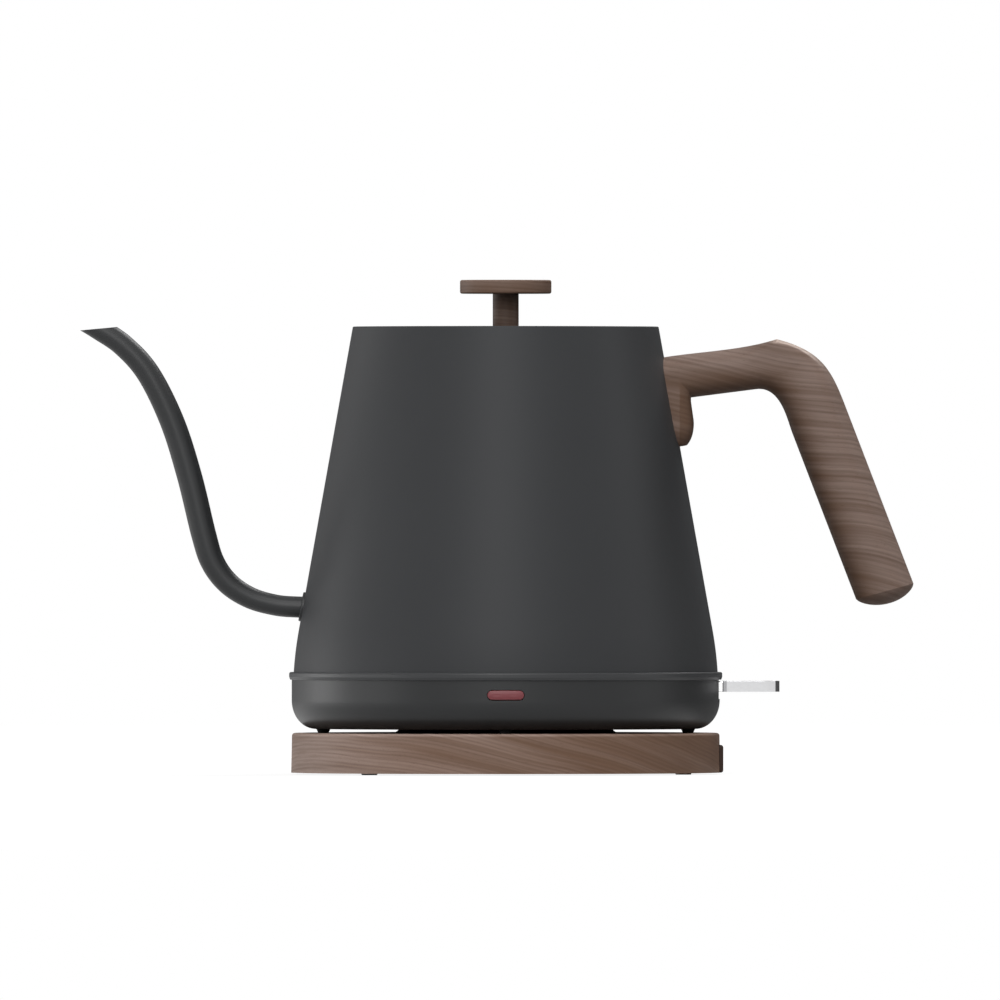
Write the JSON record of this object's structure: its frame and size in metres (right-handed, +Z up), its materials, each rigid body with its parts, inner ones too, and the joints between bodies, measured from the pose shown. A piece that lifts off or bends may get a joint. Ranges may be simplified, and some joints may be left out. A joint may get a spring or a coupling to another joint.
{
  "type": "electric kettle",
  "caption": "Gooseneck electric kettle: conical charcoal vessel, drop-in lid with disc knob, L-shaped wood-look handle and switch lever, on a round 360 degree power base.",
  "frame": {"origin": "on the vessel's axis, on the surface that the base stands on", "axes": "+Z up; +X towards the handle, the switch lever and the cord outlet; -X towards the spout; the indicator window faces -Y"},
  "size_m": [0.2917, 0.1516, 0.173],
  "materials": {
    "wood_grain": "satin walnut wood-grain film on a moulding",
    "charcoal_paint": "matt charcoal powder coat",
    "charcoal_plastic": "matt charcoal paint",
    "black_plastic": "fine matt",
    "dark_brown_plastic": "satin",
    "black_rubber": "matt",
    "steel": "bright",
    "aluminium": "rolled",
    "brass": "stamped",
    "silicone": "matt, translucent white",
    "chrome": "bright plated",
    "window_red": "dull red, smoky",
    "lamp_glass": "small neon tube"
  },
  "bodies": {
    "base": {"base_cover": "wood_grain", "base_bottom_plate": "black_plastic", "base_feet": "black_rubber", "base_screws": "steel", "base_connector": "black_plastic", "base_pin_contact": "brass", "base_ring_contacts": "brass", "base_terminals": "brass", "cord_gland": "dark_brown_plastic", "cord_clamp": "black_plastic", "cord_clamp_screws": "steel"},
    "coupler": {"coupler_body": "black_plastic", "coupler_pin": "brass", "coupler_rings": "brass"},
    "kettle": {"vessel": "charcoal_paint", "vessel_floor": "steel", "heat_spreader": "aluminium", "heating_element": "steel", "element_terminals": "brass", "trim_ring": "charcoal_paint", "lower_housing": "charcoal_plastic", "kettle_feet": "black_rubber", "housing_studs": "steel", "housing_screws": "steel", "control_body": "black_plastic", "control_screws": "steel", "dry_boil_discs": "brass", "switch_holder": "black_plastic", "lever_pin": "steel", "steam_bimetal": "brass", "switch_contacts": "brass", "indicator_lens": "window_red", "indicator_lamp": "lamp_glass", "lamp_holder": "black_plastic", "steam_tube": "steel", "steam_tube_grommet": "silicone", "spout": "charcoal_paint", "spout_collar": "charcoal_paint", "handle": "wood_grain", "handle_end_cap": "wood_grain", "handle_bracket": "steel", "handle_screws": "steel"},
    "lid": {"lid_plate": "charcoal_paint", "lid_insert": "black_plastic", "lid_gasket": "silicone", "knob_stem": "wood_grain", "knob_cap": "wood_grain", "knob_screw": "steel"},
    "lever": {"switch_lever": "chrome"},
    "pushrod": {"contact_pushrod": "black_plastic"}
  },
  "joints": [
    {"name": "kettle_lift", "type": "slide", "parent": "base", "child": "coupler", "axis": [0, 0, 1], "range_m": [0, 0.12]},
    {"name": "kettle_swivel", "type": "hinge", "parent": "coupler", "child": "kettle", "pos_m": [0, 0, 0.03], "axis": [0, 0, 1], "continuous": true},
    {"name": "lid_lift", "type": "slide", "parent": "kettle", "child": "lid", "axis": [0, 0, 1], "range_m": [0, 0.06]},
    {"name": "lever_tip", "type": "hinge", "parent": "kettle", "child": "lever", "pos_m": [0.066, 0, 0.0308], "axis": [0, 1, 0], "range_deg": [0, 12]},
    {"name": "pushrod_slide", "type": "slide", "parent": "kettle", "child": "pushrod", "axis": [0, 0, 1], "range_m": [0, 0.0018]}
  ],
  "couplings": [
    {"joint": "pushrod_slide", "follows": "lever_tip", "m_per_rad": 0.0075}
  ]
}
